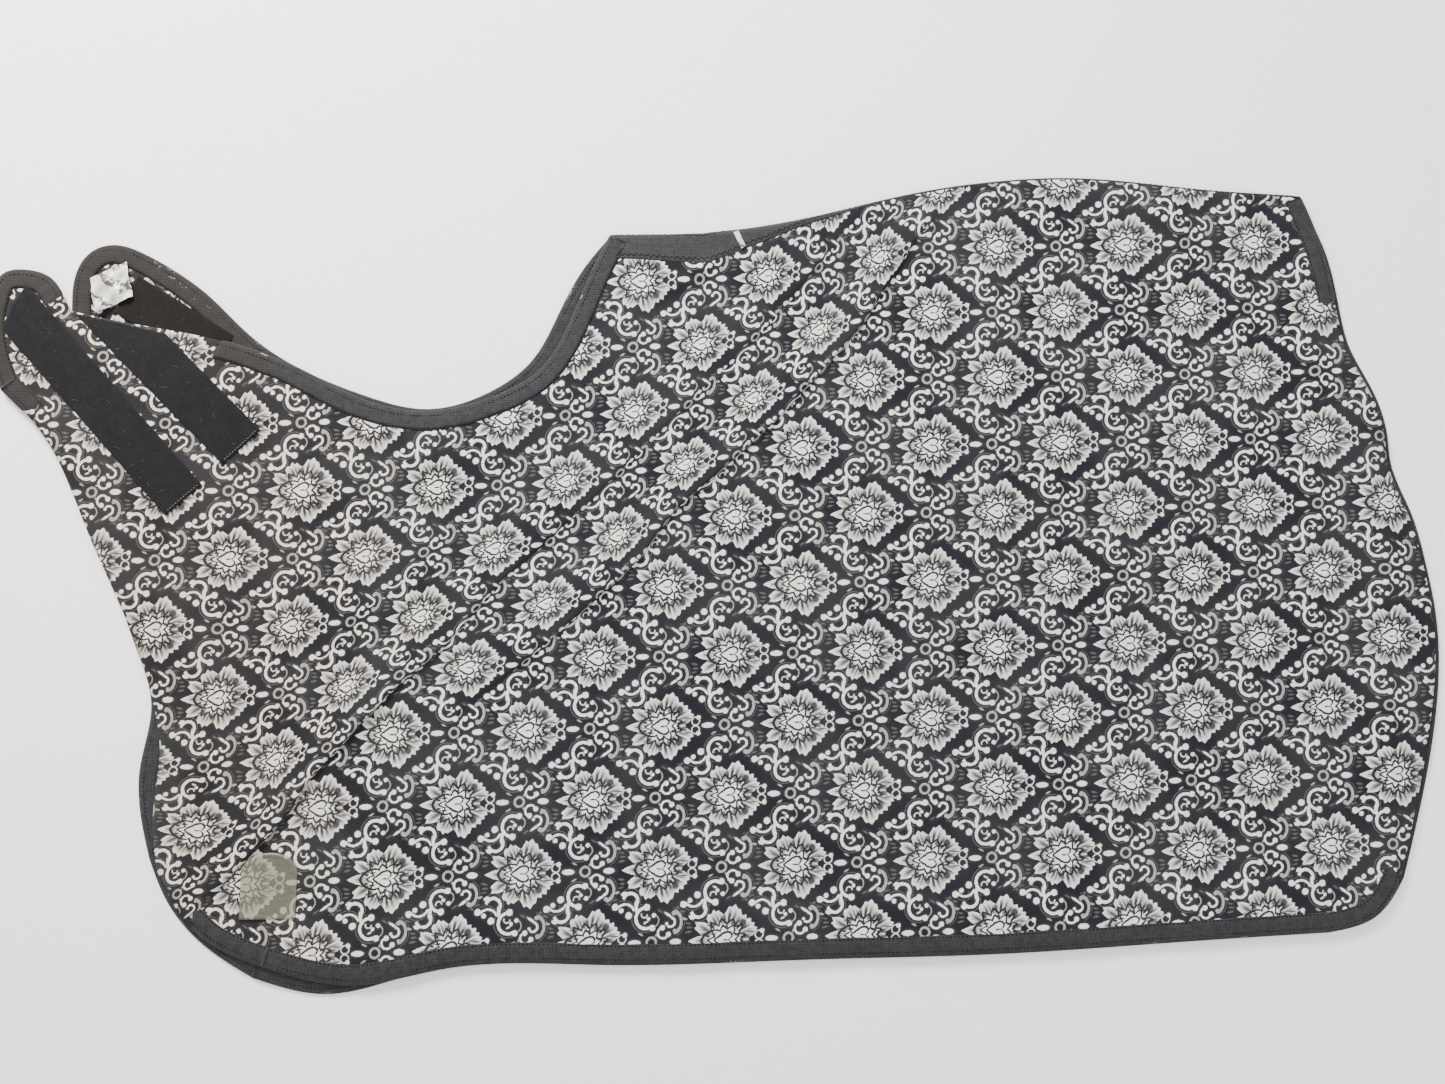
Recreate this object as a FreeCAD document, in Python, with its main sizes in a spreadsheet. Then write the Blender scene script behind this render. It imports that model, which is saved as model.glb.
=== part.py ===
"""Fleece riding rug, folded in half along its back seam and laid flat.

The right half lies underneath, inside up, and the left half lies on it, outside up.
X runs along the back towards the tail, Y towards the back seam and Z up from the floor.
The origin is on the floor, under the middle of the folded rug.
"""
import FreeCAD, Part
import math
import os

from FreeCAD import Placement, Rotation, Vector

os.makedirs("parts", exist_ok=True)
doc = FreeCAD.newDocument("riding_rug")

# ---------------------------------------------------------------- driving dimensions (mm, degrees)
DIMENSIONS = {
    "fleece_thickness": 4.0,
    "binding_width": 25.0,
    "binding_thickness": 1.0,
    "layer_gap": 4.0,
    "flap_slit": 0.5,
    "loop_width": 50.0,
    "loop_thickness": 1.5,
    "upper_loop_length": 178.0,
    "lower_loop_length": 262.0,
    "strip_angle": -44.0,
    "hook_width": 45.0,
    "hook_thickness": 1.5,
    "hook_length": 112.0,
    "hook_angle": -34.0,
    "badge_width": 61.0,
    "badge_side_height": 48.0,
    "badge_arch_rise": 20.0,
    "badge_thickness": 2.0,
    "badge_frame_inset": 4.0,
    "badge_frame_depth": 0.6,
    "care_label_width": 45.0,
    "care_label_length": 40.0,
    "care_label_angle": 26.0,
    "size_label_width": 12.0,
    "size_label_length": 24.0,
    "label_thickness": 1.0,
}
sheet = doc.addObject("Spreadsheet::Sheet", "Dimensions")
for row, (alias, value) in enumerate(DIMENSIONS.items(), start=1):
    sheet.set(f"A{row}", alias)
    sheet.set(f"B{row}", str(value))
    sheet.setAlias(f"B{row}", alias)
sheet.set("D1", "=fleece_thickness + layer_gap")
sheet.setAlias("D1", "left_bottom")
sheet.set("D2", "=left_bottom + fleece_thickness")
sheet.setAlias("D2", "left_top")
doc.recompute()

# ---------------------------------------------------------------- outlines (mm)
# Each half's edge, anticlockwise from the wither end of the back seam. A run is one smooth
# curve through its points and starts where the run before it ends.
BACK_SEAM = [(662, 428), (544, 434), (400, 445), (314, 440), (234, 428), (80, 391), (-30, 375), (-125, 372)]

LEFT_RUNS = [
    [(-125, 372), (-147, 326), (-169, 272), (-200, 220), (-255, 187), (-325, 171), (-395, 184),
     (-461, 216), (-540, 248), (-624, 266), (-700, 280)],
    [(-700, 280), (-718, 308), (-750, 323), (-782, 314), (-794, 285), (-794, 230), (-780, 193)],
    [(-780, 193), (-735, 145), (-682, 40), (-624, -77), (-607, -150), (-598, -250), (-582, -316)],
    [(-582, -316), (-560, -360), (-525, -394), (-480, -416)],
    [(-480, -416), (-388, -435), (-296, -420), (-129, -417), (82, -414), (295, -410), (500, -399), (655, -391)],
    [(655, -391), (712, -372), (738, -335)],
    [(738, -335), (778, -180), (788, -60), (762, 80), (730, 200), (694, 320), (662, 428)],
]
RIGHT_RUNS = [
    [(-125, 372), (-152, 338), (-180, 286), (-210, 230), (-260, 192), (-325, 174), (-392, 190),
     (-461, 226), (-521, 253), (-575, 303), (-610, 328)],
    [(-610, 328), (-640, 346), (-671, 355), (-698, 340), (-708, 300), (-706, 230)],
    [(-706, 230), (-690, 90), (-655, -10), (-624, -85), (-616, -150), (-616, -220), (-600, -306)],
    [(-600, -306), (-575, -356), (-536, -400), (-491, -428)],
    [(-491, -428), (-415, -445), (-337, -429), (-233, -410), (-35, -414), (188, -409), (435, -395), (655, -388)],
    [(655, -388), (716, -372), (744, -335)],
    [(744, -335), (786, -180), (796, -50), (779, 56), (745, 190), (704, 300), (662, 428)],
]

# Lines that part one run of edge binding from the next, each from inside the rug outwards.
WITHER_MITRE = [(-95, 330), (-125, 372), (-185, 456)]
TAIL_MITRE = [(610, 378), (662, 428), (760, 522)]
TAIL_CORNER = [(600, -280), (860, -560)]
FRONT_CORNER = [(-470, -300), (-720, -560)]
FLAP_TIP = [(-600, 200), (-800, 420)]
REACH = 950  # past the rug on every side

# The front flap of the left half turns up about this line, which runs at 45 degrees.
FLAP_LINE = Vector(-535, 75, 0)
FLAP_LINE_ANGLE = 45


def add(kind, name, **properties):
    """A document object with these properties; a string that starts with = is an expression."""
    made = doc.addObject(kind, name)
    for key, value in properties.items():
        if isinstance(value, str) and value.startswith("="):
            made.setExpression(key, value[1:])
        else:
            setattr(made, key, value)
    return made


def spline(points):
    """A smooth curve through these points."""
    curve = Part.BSplineCurve()
    curve.interpolate([Vector(x, y, 0) for x, y in points])
    return curve


def outline(name, runs, bottom):
    """A closed edge made of these runs, as a sketch at height bottom."""
    sketch = add("Sketcher::SketchObject", name)
    sketch.setExpression("Placement.Base.z", bottom)
    for run in runs:
        sketch.addGeometry(spline(run), False)
    return sketch


def inwards(curve, point):
    """The direction square to the edge at one of its points, into the rug."""
    along = curve.tangent(curve.parameter(Vector(*point, 0)))[0]
    return Vector(-along.y, along.x, 0)


def inset(runs, distance):
    """The closed edge again, this far inside the first, with mitred corners between its runs."""
    curves = [spline(run) for run in runs]
    mitres = []
    for before, after, run in zip(curves[-1:] + curves[:-1], curves, runs):
        one, two = inwards(before, run[0]), inwards(after, run[0])
        mitres.append((one + two) * (distance / (1 + one.dot(two))))
    moved = []
    for curve, run, first, last in zip(curves, runs, mitres, mitres[1:] + mitres[:1]):
        shifts = [first, *[inwards(curve, point) * distance for point in run[1:-1]], last]
        moved.append([(x + shift.x, y + shift.y) for (x, y), shift in zip(run, shifts)])
    return moved


def polygon(name, corners):
    """A closed sketch of straight lines on the floor plane."""
    sketch = add("Sketcher::SketchObject", name)
    for start, end in zip(corners, corners[1:] + corners[:1]):
        sketch.addGeometry(Part.LineSegment(Vector(*start, 0), Vector(*end, 0)), False)
    return sketch


def region(name, corners, low=-5, high=25):
    """A tall prism over these corners, which picks one run out of an edge binding."""
    made = add("Part::Extrusion", name, Base=polygon(name + "_corners", corners), DirMode="Custom",
               Dir=Vector(0, 0, 1), LengthFwd=high - low, Solid=True)
    made.Placement.Base.z = low
    return made


def raised(name, base, height):
    """base extruded upwards by the expression height."""
    return add("Part::Extrusion", name, Base=base, DirMode="Custom", Dir=Vector(0, 0, 1), Solid=True,
               LengthFwd="=" + height)


def common(name, first, second):
    return add("Part::Common", name, Base=first, Tool=second)


def cut(name, first, second):
    return add("Part::Cut", name, Base=first, Tool=second)


def fuse(name, shapes):
    return add("Part::MultiFuse", name, Shapes=shapes)


# ---------------------------------------------------------------- one half of the rug
def half(side, runs, bottom):
    """The whole slab of one half, its field inside the binding, and the ring of folded binding.

    The binding is a tape folded over the fleece edge. It presses the fleece in, so both
    have the same outer faces.
    """
    edge = [*runs, BACK_SEAM]
    inner_edge = inset(edge, sheet.get("binding_width"))
    pressed_edge = inset(edge, sheet.get("binding_thickness"))
    slab = raised(side + "_slab", outline(side + "_edge", edge, bottom), "Dimensions.fleece_thickness")
    field = raised(side + "_field", outline(side + "_inner_edge", inner_edge, bottom), "Dimensions.fleece_thickness")
    core = raised(side + "_core", outline(side + "_pressed_edge", pressed_edge, bottom),
                  "Dimensions.fleece_thickness - 2 * Dimensions.binding_thickness")
    core.setExpression("Placement.Base.z", "Dimensions.binding_thickness")
    frame = cut(side + "_frame", slab, field)
    channel = cut(side + "_channel", frame, core)
    return slab, frame, channel


def back_tape(side, frame, tape_bottom):
    """Half of the back seam's tape: a flat run along the seam on the outside of the rug."""
    corners = [*WITHER_MITRE, (-185, REACH), (760, REACH), *reversed(TAIL_MITRE)]
    over_seam = region(side + "_seam_region", corners)
    run = common(side + "_seam_run", frame, over_seam)
    face = add("Part::Box", side + "_tape_level", Length=2 * REACH, Width=2 * REACH,
               Height="=Dimensions.binding_thickness")
    face.Placement.Base = Vector(-REACH, -REACH, 0)
    face.setExpression("Placement.Base.z", tape_bottom)
    return common(side + "_back_tape", run, face)


def binding_regions(side):
    """The prisms that hold the cut-out, front, hem and tail runs of binding."""
    inside = [(-500, 100), (-200, 100)]
    return {
        "cutout": region(side + "_cutout_region", [*WITHER_MITRE, (-185, REACH), (-800, REACH), *reversed(FLAP_TIP),
                                                   *inside]),
        "front": region(side + "_front_region", [*FLAP_TIP, (-REACH, 420), (-REACH, -560), *reversed(FRONT_CORNER),
                                                 inside[0]]),
        "hem": region(side + "_hem_region", [*FRONT_CORNER, *reversed(TAIL_CORNER)]),
        "tail": region(side + "_tail_region", [*TAIL_CORNER, (REACH, -560), (REACH, REACH), (760, REACH),
                                               *reversed(TAIL_MITRE)]),
    }


# ---------------------------------------------------------------- right half, underneath
right_slab, right_frame, right_channel = half("right", RIGHT_RUNS, "0")
right_pieces = {"right_" + run + "_binding": common("right_" + run + "_binding", right_channel, prism)
                for run, prism in binding_regions("right").items()}
right_pieces["right_back_tape"] = back_tape("right", right_frame, "0")
right_trim = fuse("right_trim", list(right_pieces.values()))
right_panel = cut("right_panel", right_slab, right_trim)

# ---------------------------------------------------------------- left half, on top
left_slab, left_frame, left_channel = half("left", LEFT_RUNS, "Dimensions.left_bottom")


def flap_half_plane(name, sign):
    """A block that covers one side of the flap line, half a slit away from it."""
    block = add("Part::Box", name, Length=4 * REACH, Width=2 * REACH, Height=40)
    turn = Rotation(Vector(0, 0, 1), FLAP_LINE_ANGLE)
    slit = DIMENSIONS["flap_slit"] / 2
    corner = Vector(-2 * REACH, slit, -5) if sign > 0 else Vector(-2 * REACH, -slit - 2 * REACH, -5)
    block.Placement = Placement(FLAP_LINE + turn.multVec(corner), turn)
    return block


flap_block = flap_half_plane("flap_block", +1)
main_block = flap_half_plane("main_block", -1)
left_regions = binding_regions("left")
left_pieces = {}
for run, prism in left_regions.items():
    whole = common("left_" + run + "_run", left_channel, prism)
    left_pieces["left_" + run + "_binding"] = common("left_" + run + "_binding", whole, main_block)
left_pieces["left_back_tape"] = back_tape("left", left_frame, "Dimensions.left_top - Dimensions.binding_thickness")
left_pieces["left_flap_binding"] = common("left_flap_binding", left_channel, flap_block)
left_trim = fuse("left_trim", list(left_pieces.values()))
left_fleece = cut("left_fleece", left_slab, left_trim)
left_panel = common("left_panel", left_fleece, main_block)
left_flap = common("left_flap", left_fleece, flap_block)


# ---------------------------------------------------------------- hook and loop closure
def strip(name, start, length, width, thickness, angle, bottom):
    """A flat strip that starts at the middle of one end and runs at this angle."""
    made = add("Part::Box", name, Length="=Dimensions." + length, Width="=Dimensions." + width,
               Height="=Dimensions." + thickness)
    turn = Rotation(Vector(0, 0, 1), DIMENSIONS[angle])
    middle = turn.multVec(Vector(0, -DIMENSIONS[width] / 2, 0))
    made.Placement = Placement(Vector(*start, 0) + middle, turn)
    made.setExpression("Placement.Base.z", bottom)
    return made


loops = {
    "upper_loop_strip": strip("upper_loop_strip", (-648, 250), "upper_loop_length", "loop_width",
                              "loop_thickness", "strip_angle", "Dimensions.left_top"),
    "lower_loop_strip": strip("lower_loop_strip", (-765, 254), "lower_loop_length", "loop_width",
                              "loop_thickness", "strip_angle", "Dimensions.left_top"),
}
hooks = {
    "upper_hook_strip": strip("upper_hook_strip", (-636, 300), "hook_length", "hook_width",
                              "hook_thickness", "hook_angle", "Dimensions.fleece_thickness"),
    "lower_hook_strip": strip("lower_hook_strip", (-672, 232), "hook_length", "hook_width",
                              "hook_thickness", "hook_angle", "Dimensions.fleece_thickness"),
}


# ---------------------------------------------------------------- labels and badge
def origin_plane(body, role):
    """A body's own origin plane, found by its role."""
    return next(f for f in body.Origin.OriginFeatures if f.Role == role)


def labelled_plate(name, width, length, bottom, place, angle):
    """A thin rectangular label, sewn along the edge that starts at place and runs at this angle."""
    body = add("PartDesign::Body", name)
    sketch = body.newObject("Sketcher::SketchObject", name + "_sketch")
    sketch.AttachmentSupport = [(origin_plane(body, "XY_Plane"), "")]
    sketch.MapMode = "FlatFace"
    wide, long = DIMENSIONS[width], DIMENSIONS[length]
    corners = [Vector(0, 0, 0), Vector(0, -long, 0), Vector(wide, -long, 0), Vector(wide, 0, 0)]
    for start, end in zip(corners, corners[1:] + corners[:1]):
        sketch.addGeometry(Part.LineSegment(start, end), False)
    pad = body.newObject("PartDesign::Pad", name + "_pad")
    pad.Profile = sketch
    pad.setExpression("Length", "Dimensions.label_thickness")
    body.Placement = Placement(Vector(*place, 0), Rotation(Vector(0, 0, 1), angle))
    body.setExpression("Placement.Base.z", bottom)
    return body


care_label = labelled_plate("care_label", "care_label_width", "care_label_length",
                            "Dimensions.fleece_thickness + 0.3", (-694, 317), DIMENSIONS["care_label_angle"])
size_label = labelled_plate("size_label", "size_label_width", "size_label_length",
                            "Dimensions.left_top + 0.3", (8, 376), 0)


def arched(inset):
    """The badge's edge, this far inside it: straight sides and foot, and an arch on top."""
    half_width = DIMENSIONS["badge_width"] / 2 - inset
    foot, shoulder = inset, DIMENSIONS["badge_side_height"]
    crown = shoulder + DIMENSIONS["badge_arch_rise"] - inset
    left, right = Vector(-half_width, shoulder, 0), Vector(half_width, shoulder, 0)
    low_left, low_right = Vector(-half_width, foot, 0), Vector(half_width, foot, 0)
    return [Part.LineSegment(left, low_left), Part.LineSegment(low_left, low_right),
            Part.LineSegment(low_right, right), Part.Arc(right, Vector(0, crown, 0), left)]


def build_badge():
    """A moulded rubber badge with a shallow groove that frames its face."""
    body = add("PartDesign::Body", "badge")
    ground = origin_plane(body, "XY_Plane")
    plate_sketch = body.newObject("Sketcher::SketchObject", "badge_plate_sketch")
    plate_sketch.AttachmentSupport = [(ground, "")]
    plate_sketch.MapMode = "FlatFace"
    plate_sketch.addGeometry(arched(0), False)
    plate = body.newObject("PartDesign::Pad", "badge_plate")
    plate.Profile = plate_sketch
    plate.setExpression("Length", "Dimensions.badge_thickness")
    groove_sketch = body.newObject("Sketcher::SketchObject", "badge_groove_sketch")
    groove_sketch.AttachmentSupport = [(ground, "")]
    groove_sketch.MapMode = "FlatFace"
    groove_sketch.setExpression("AttachmentOffset.Base.z", "Dimensions.badge_thickness")
    inset = DIMENSIONS["badge_frame_inset"]
    groove_sketch.addGeometry(arched(inset) + arched(inset + 2), False)
    doc.recompute()
    before = body.Shape.Volume
    groove = body.newObject("PartDesign::Pocket", "badge_groove")
    groove.Profile = groove_sketch
    groove.setExpression("Length", "Dimensions.badge_frame_depth")
    doc.recompute()
    assert body.Shape.Volume < before - 1, "the badge's groove cut nothing"
    body.Placement = Placement(Vector(-476, -368, 0), Rotation(Vector(0, 0, 1), 0))
    body.setExpression("Placement.Base.z", "Dimensions.left_top")
    return body


badge = build_badge()
doc.recompute()

# ---------------------------------------------------------------- check and write
nodes = {"right_panel": right_panel, **right_pieces, **hooks, "care_label": care_label,
         "left_panel": left_panel, **left_pieces, "badge": badge, "size_label": size_label,
         "left_flap": left_flap, **loops}
for node, piece in nodes.items():
    piece.Label = node
for made in doc.Objects:
    bad = [state for state in made.State if state in ("Invalid", "Error")]
    assert not bad, f"{made.Name} failed: {bad}"
for node, piece in nodes.items():
    shape = piece.Shape
    assert not shape.isNull() and shape.isValid(), f"{node} has no valid shape"
    assert len(shape.Solids) == 1, f"{node} has {len(shape.Solids)} solids"
for node, piece in nodes.items():
    piece.Shape.exportStep(f"parts/{node}.step")

whole = Part.makeCompound([piece.Shape for piece in nodes.values()]).BoundBox
print(f"{len(nodes)} nodes, X {whole.XMin:.1f} {whole.XMax:.1f}, Y {whole.YMin:.1f} {whole.YMax:.1f}, "
      f"Z {whole.ZMin:.1f} {whole.ZMax:.1f}")
for node, piece in nodes.items():
    print(f"{node:24s} {piece.Shape.Volume / 1000:9.1f} cm3")
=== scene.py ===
import math

import bpy
import numpy as np
from mathutils import Matrix, Vector
from mathutils.geometry import delaunay_2d_cdt


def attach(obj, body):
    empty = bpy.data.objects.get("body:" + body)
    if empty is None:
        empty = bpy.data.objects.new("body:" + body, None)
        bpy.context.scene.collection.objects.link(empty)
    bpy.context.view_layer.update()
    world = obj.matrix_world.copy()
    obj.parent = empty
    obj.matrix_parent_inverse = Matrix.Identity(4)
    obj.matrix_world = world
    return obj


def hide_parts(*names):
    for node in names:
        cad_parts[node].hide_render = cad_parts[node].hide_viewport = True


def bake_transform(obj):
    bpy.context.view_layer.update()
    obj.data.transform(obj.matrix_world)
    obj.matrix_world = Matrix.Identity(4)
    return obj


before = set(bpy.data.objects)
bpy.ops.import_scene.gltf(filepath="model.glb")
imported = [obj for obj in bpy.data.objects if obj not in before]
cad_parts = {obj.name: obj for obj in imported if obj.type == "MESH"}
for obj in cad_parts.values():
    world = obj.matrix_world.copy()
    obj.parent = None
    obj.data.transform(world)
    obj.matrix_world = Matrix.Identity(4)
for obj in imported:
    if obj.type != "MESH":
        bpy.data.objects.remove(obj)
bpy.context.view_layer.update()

# Lengths are in millimetres until a mesh is made, which turns them into metres.
MM = 0.001
LAYER_MIDDLE = 6.2       # height of the fold between the two halves
ROLL = 4.2               # radius of that fold, to the middle of the cloth
FLEECE = 2.2             # thickness of the cloth
TAPE = 0.8               # thickness of the binding
TAPE_WIDTH = 20.5        # how far the folded binding reaches in over the cloth
TUCK_IN = 16             # how far in a binding lies that has rolled underneath
TUCK_DOWN = 3.2          # and how far down
SHARP = 0.25             # the share of a roll's slack that its steep side takes up

BACK_SEAM = [(662, 428), (544, 434), (400, 445), (314, 440), (234, 428), (80, 391), (-30, 375), (-125, 372)]
LEFT_RUNS = {
    "cutout": [(-125, 372), (-147, 326), (-169, 272), (-200, 220), (-255, 187), (-325, 171), (-395, 184),
               (-461, 216), (-540, 246), (-607, 260), (-660, 269), (-712, 280)],
    "flap": [(-712, 280), (-722, 298), (-736, 316), (-759, 324), (-783, 320), (-794, 298), (-794, 230),
             (-780, 193)],
    "front": [(-780, 193), (-735, 145), (-682, 40), (-627, -77), (-603, -147), (-595, -190), (-599, -255),
              (-593, -316)],
    "corner": [(-593, -316), (-574, -352), (-540, -388), (-480, -416)],
    "hem": [(-480, -416), (-388, -435), (-296, -420), (-129, -417), (82, -414), (295, -410), (500, -399),
            (655, -391)],
    "heel": [(655, -391), (712, -372), (738, -335)],
    "tail": [(738, -335), (778, -180), (790, -45), (782, 8), (768, 64), (748, 122), (746, 152), (730, 206),
             (706, 256), (699, 290), (686, 362), (662, 428)],
}
RIGHT_RUNS = {
    "cutout": [(-125, 372), (-152, 338), (-180, 286), (-210, 230), (-260, 192), (-325, 174), (-392, 188),
               (-461, 216), (-521, 255), (-573, 304), (-612, 331)],
    "flap": [(-612, 331), (-642, 347), (-673, 355), (-695, 347), (-708, 328), (-712, 295), (-706, 230)],
    "front": [(-706, 230), (-690, 90), (-655, -10), (-626, -85), (-607, -148), (-616, -213), (-602, -306)],
    "corner": [(-602, -306), (-583, -348), (-543, -394), (-491, -428)],
    "hem": [(-491, -428), (-415, -445), (-337, -429), (-233, -410), (-35, -414), (188, -409), (435, -395),
            (655, -388)],
    "heel": [(655, -388), (716, -372), (744, -335)],
    "tail": [(744, -335), (786, -180), (796, -45), (788, 8), (774, 66), (754, 122), (752, 152), (736, 208),
             (712, 258), (705, 290), (691, 364), (662, 428)],
}


# ------------------------------------------------------------ plane geometry
def smooth(x):
    x = np.clip(x, 0, 1)
    return x * x * (3 - 2 * x)


def lengths(line):
    """How far along the line each of its points is."""
    return np.concatenate([[0], np.cumsum(np.linalg.norm(np.diff(line, axis=0), axis=1))])


def closed(loop):
    return np.concatenate([loop, loop[:1]])


def area(loop):
    """The area inside the loop, in square metres."""
    turns = (a[0] * b[1] - b[0] * a[1] for a, b in zip(loop, np.roll(loop, -1, axis=0)))
    return 0.5 * abs(sum(turns)) * 1e-6


def spline(points, step=4.0):
    """Points every few millimetres on a natural cubic spline through these."""
    p = np.array(points, float)
    u = lengths(p)
    n, h = len(p), np.diff(u)
    a, r = np.eye(n), np.zeros_like(p)
    for i in range(1, n - 1):
        a[i, i - 1:i + 2] = h[i - 1], 2 * (h[i - 1] + h[i]), h[i]
        r[i] = 6 * ((p[i + 1] - p[i]) / h[i] - (p[i] - p[i - 1]) / h[i - 1])
    m = np.linalg.solve(a, r)
    at = np.linspace(0, u[-1], max(2, int(round(u[-1] / step)) + 1))
    i = np.clip(np.searchsorted(u, at, side="right") - 1, 0, n - 2)
    left, right, w = (u[i + 1] - at)[:, None], (at - u[i])[:, None], h[i][:, None]
    return (m[i] * left ** 3 + m[i + 1] * right ** 3) / (6 * w) + (p[i] / w - m[i] * w / 6) * left \
        + (p[i + 1] / w - m[i + 1] * w / 6) * right


def away(points, line):
    """Distance from each point to the line, and how far along the line the nearest place is."""
    best, where, done = np.full(len(points), 1e18), np.zeros(len(points)), 0.0
    for a, b in zip(line[:-1], line[1:]):
        d = b - a
        long = math.hypot(*d)
        if long < 1e-9:
            continue
        t = np.clip((points - a) @ d / long ** 2, 0, 1)
        gap = ((points - a - t[:, None] * d) ** 2).sum(1)
        nearer = gap < best
        best[nearer], where[nearer] = gap[nearer], done + t[nearer] * long
        done += long
    return np.sqrt(best), where


def inside(points, loop):
    """Which points lie inside the loop."""
    odd = np.zeros(len(points), bool)
    for a, b in zip(loop, np.roll(loop, -1, axis=0)):
        if a[1] != b[1]:
            crosses = (a[1] > points[:, 1]) != (b[1] > points[:, 1])
            odd ^= crosses & (points[:, 0] < a[0] + (points[:, 1] - a[1]) * (b[0] - a[0]) / (b[1] - a[1]))
    return odd


def outwards(line):
    """Unit normals of an anticlockwise line, pointing out of the cloth, smoothed round its corners."""
    d = np.gradient(line, axis=0)
    for _ in range(3):
        d[1:-1] = (d[:-2] + 2 * d[1:-1] + d[2:]) / 4
    d /= np.linalg.norm(d, axis=1)[:, None]
    return np.column_stack([d[:, 1], -d[:, 0]])


class Half:
    """One half of the rug: its edge all round, and the runs along it."""

    def __init__(self, runs):
        self.runs = {name: spline(points) for name, points in runs.items()}
        self.free = np.concatenate([r[:-1] for r in self.runs.values()] + [self.runs["tail"][-1:]])
        self.seam = spline(BACK_SEAM)
        self.loop = np.concatenate([self.free[:-1], self.seam[:-1]])


left, right = Half(LEFT_RUNS), Half(RIGHT_RUNS)

# The slack of the upper half lies in diagonal rolls. For each: its foot and the cloth it takes up,
# both at places along the diagonal, then its width and how high it stands for what it takes up.
DIAGONAL = np.array([0.697, 0.717])
ACROSS = np.array([-0.717, 0.697])
ROLLS = [
    ([(-340, 95), (-230, 80), (-165, 75), (-55, 70), (10, 80), (65, 75), (160, 70), (300, 75), (420, 100)],
     [(-340, 0), (-230, 17), (-130, 30), (300, 30), (420, 20)], 58, 0.155),
    ([(-600, 140), (-505, 145), (-470, 155), (-335, 160), (-275, 152), (-170, 158), (-55, 150), (230, 148),
      (420, 165)],
     [(-620, 18), (-540, 34), (-340, 36), (-230, 21), (-130, 17), (420, 14)], 62, 0.15),
    ([(-600, 222), (-420, 232), (-280, 236), (-215, 232), (-80, 226), (420, 236)],
     [(-600, 8), (-230, 12), (-130, 3), (420, 3)], 80, 0.20),
]
SOFT_FOLDS = [   # path, how wide, how high
    ([(-110, 280), (-55, 315), (10, 355)], 7, 3.0),
    ([(430, 438), (500, 402), (560, 374), (645, 350)], 10, 2.8),
    ([(470, 440), (540, 330), (575, 250), (560, 180)], 18, 3.2),
    ([(380, 250), (420, 215), (435, 190), (420, 165)], 7, 3.4),
    ([(560, 190), (600, 167), (700, 168)], 9, 3.6),
    ([(600, 330), (660, 300), (705, 283)], 9, 3.0),
    ([(-300, 150), (-380, 60), (-470, -60), (-530, -150)], 16, 2.4),
    ([(-420, 120), (-520, -20), (-575, -120)], 13, 2.0),
    ([(660, 260), (700, 150), (735, 60), (748, -60)], 12, 3.4),
    ([(640, 120), (690, 20), (700, -110)], 16, 2.6),
    ([(705, -60), (735, -140), (715, -260)], 14, 3.0),
    ([(-250, -300), (-60, -260), (140, -290), (330, -250)], 22, 1.6),
    ([(60, -60), (220, -20), (420, -60)], 30, 1.5),
]
SOFT_FOLDS = [(spline(path, 12), wide, high) for path, wide, high in SOFT_FOLDS]


def table(t, pairs):
    """The values at t on straight lines between these pairs."""
    return np.interp(t, [p[0] for p in pairs], [p[1] for p in pairs])


def settle(cut, sharp):
    """Where the flat cut's points lie once its slack is in the rolls, and how high the rolls lift them."""
    s, t = cut @ ACROSS, cut @ DIAGONAL
    moved, lift, shift = s.copy(), np.zeros(len(s)), np.zeros(len(s))
    for foot, taken, width, tall in ROLLS:
        d = table(t, taken)
        r = (s - table(t, foot) - shift) / (width + d)
        moved -= d * (sharp * smooth(r / 0.2) + (1 - sharp) * smooth((r - 0.1) / 0.9))
        lift += tall * d * smooth(r / 0.2) * (1 - smooth((r - 0.2) / 0.8))
        shift = shift + d
    return moved[:, None] * ACROSS + t[:, None] * DIAGONAL, lift


def flat_cut(points):
    """The place in the flat cut of each of these places on the settled cloth."""
    cut = points.copy()
    for _ in range(90):
        cut = cut + points - settle(cut, SHARP)[0]
    return cut


def left_height(xy):
    """Height of the middle of the upper half's cloth, without its rolls."""
    x, y = xy[:, 0], xy[:, 1]
    free, _ = away(xy, left.free)
    fold, _ = away(xy, left.seam)
    z = 9.3 - 2.5 * np.exp(-free / 13)
    z -= 3.4 * smooth((free - 20) / 80) * smooth((fold - 20) / 80) * smooth((x + 560) / 80)
    swell = 0.7 * np.sin(x / 83 + 0.5) * np.sin(y / 67 + 1.2)
    z += smooth(free / 60) * (swell + 0.35 * np.sin(x / 31 - y / 47))
    for path, wide, high in SOFT_FOLDS:
        gap, place = away(xy, path)
        long = np.linalg.norm(np.diff(path, axis=0), axis=1).sum()
        crest = high * np.exp(-(gap / wide) ** 2)
        z += crest * smooth(place / 40) * smooth((long - place) / 40) * smooth(free / 25)
    z += 2.2 * smooth((-x - 705) / 80) * smooth((y - 150) / 120)
    z += 1.0 * smooth((-x - 690) / 60) * np.sin(x / 14 + y / 22) * smooth((y - 120) / 100)
    rise = np.sqrt(1 - (1 - np.clip(fold / ROLL, 0, 1)) ** 2)
    return LAYER_MIDDLE + (z + 1.0 * np.exp(-fold / 40) - LAYER_MIDDLE) * rise


def right_height(xy):
    """Height of the middle of the lower half's cloth."""
    x, y = xy[:, 0], xy[:, 1]
    fold, _ = away(xy, right.seam)
    end = smooth((-x - 600) / 70) * smooth((y - 250) / 60)
    z = 2.1 + end * (0.5 + 0.4 * np.sin(x / 9 + 1) * np.cos(y / 13))
    drop = np.sqrt(1 - (1 - np.clip(fold / ROLL, 0, 1)) ** 2)
    return LAYER_MIDDLE + (z - LAYER_MIDDLE) * drop


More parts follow.
